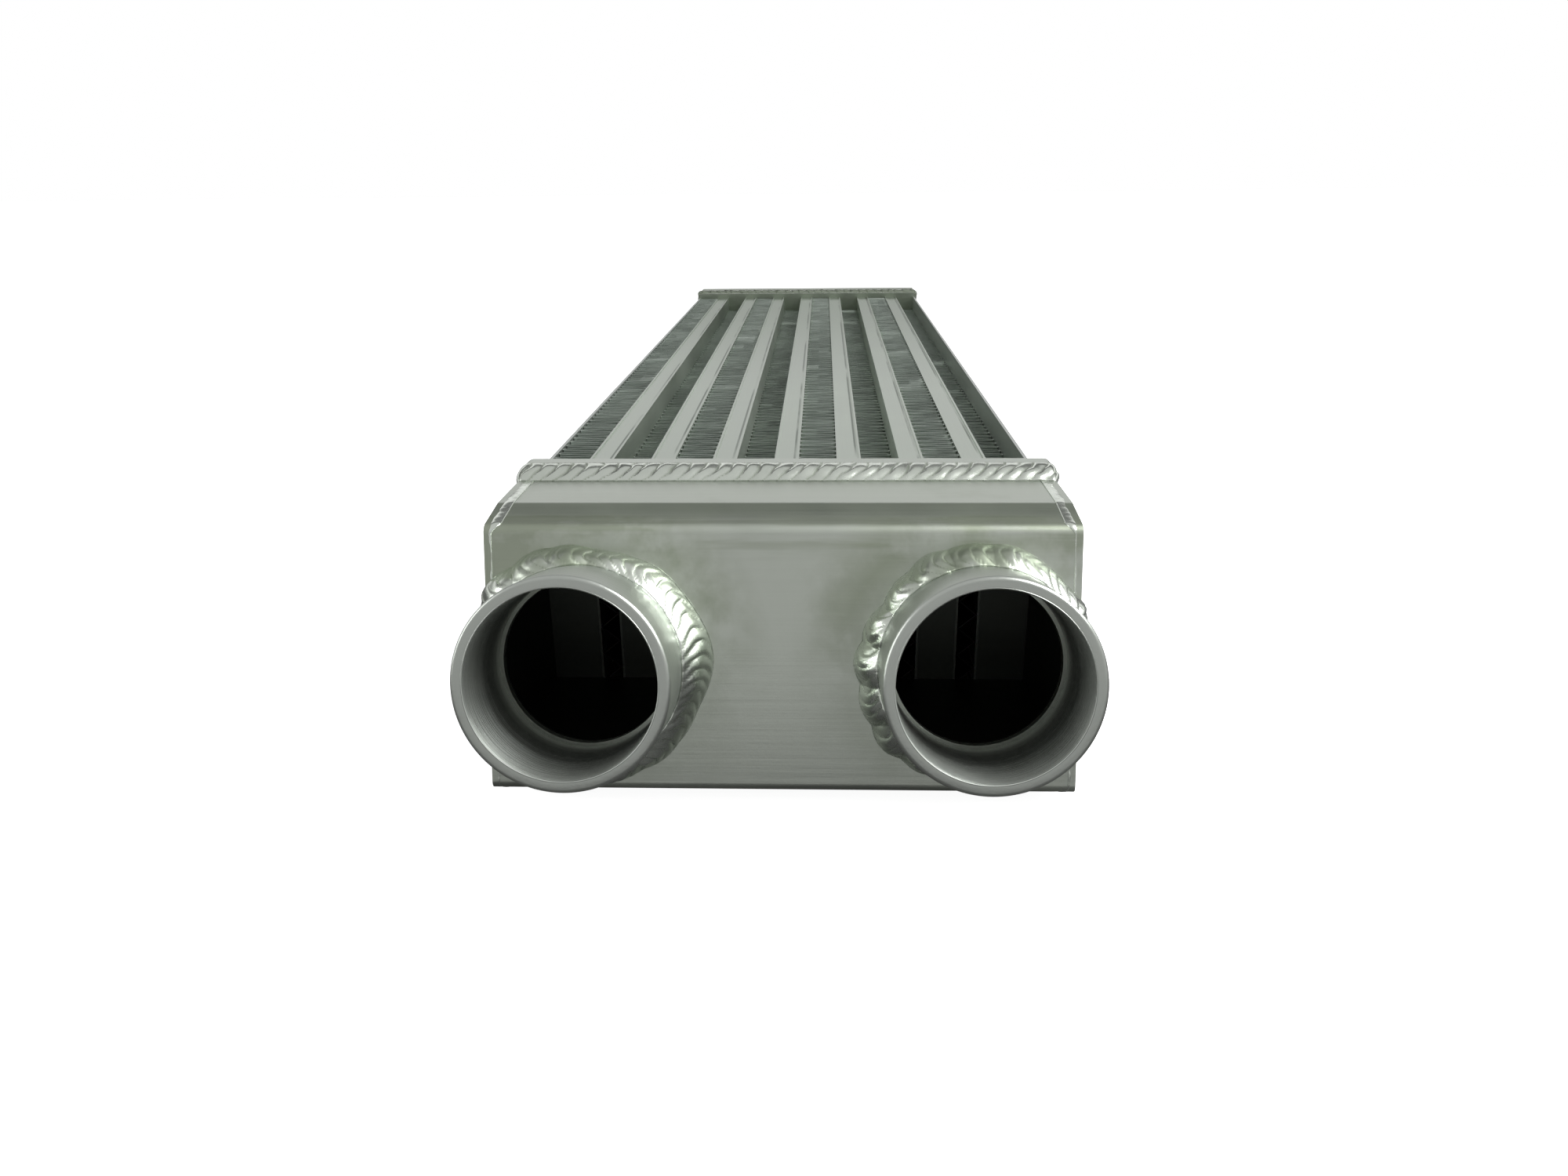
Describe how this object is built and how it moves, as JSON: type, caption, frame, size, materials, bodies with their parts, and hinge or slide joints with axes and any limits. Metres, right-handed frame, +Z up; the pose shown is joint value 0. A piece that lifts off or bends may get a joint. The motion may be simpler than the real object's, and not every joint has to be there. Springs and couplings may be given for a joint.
{
  "type": "intercooler",
  "caption": "Flat aluminium air-to-air intercooler: charge tubes and folded fins between welded end tanks, with the inlet and outlet hose pipes on the same tank.",
  "frame": {"origin": "middle of the underside of the whole part", "axes": "+X across the width, +Y along the core away from the pipes, +Z up through the thickness"},
  "size_m": [0.194, 0.7004, 0.1],
  "materials": {
    "tank_wall": "satin, faintly smudged",
    "header_plate": "satin",
    "tube_nose": "satin, lightly brushed along its length",
    "cooling_fin": "bright rolled sheet, dark in its depth",
    "inner_fin": "rolled sheet",
    "side_sheet": "satin",
    "tank_inner": "dull",
    "pipe": "satin, brushed round the tube",
    "weld_bead": "bright rippled bead"
  },
  "bodies": {
    "root": {"bottom_edge_weld_left": "weld_bead", "bottom_edge_weld_right": "weld_bead", "charge_tube_1": "tube_nose", "charge_tube_2": "tube_nose", "charge_tube_3": "tube_nose", "charge_tube_4": "tube_nose", "charge_tube_5": "tube_nose", "charge_tube_6": "tube_nose", "charge_tube_7": "tube_nose", "fin_row_1": "cooling_fin", "fin_row_2": "cooling_fin", "fin_row_3": "cooling_fin", "fin_row_4": "cooling_fin", "fin_row_5": "cooling_fin", "fin_row_6": "cooling_fin", "fin_row_7": "cooling_fin", "fin_row_8": "cooling_fin", "front_end_plate_left": "tank_wall", "front_end_plate_right": "tank_wall", "front_header": "header_plate", "front_seam_weld": "weld_bead", "front_tank_shell": "tank_wall", "inlet_pipe": "pipe", "inlet_weld": "weld_bead", "outlet_pipe": "pipe", "outlet_weld": "weld_bead", "rear_end_plate_left": "tank_wall", "rear_end_plate_right": "tank_wall", "rear_header": "header_plate", "rear_seam_weld": "weld_bead", "rear_tank_shell": "tank_wall", "side_plate_left": "side_sheet", "side_plate_right": "side_sheet", "tank_divider": "tank_inner", "top_edge_weld_left": "weld_bead", "top_edge_weld_right": "weld_bead", "turbulator_1": "inner_fin", "turbulator_2": "inner_fin", "turbulator_3": "inner_fin", "turbulator_4": "inner_fin", "turbulator_5": "inner_fin", "turbulator_6": "inner_fin", "turbulator_7": "inner_fin"}
  },
  "joints": []
}
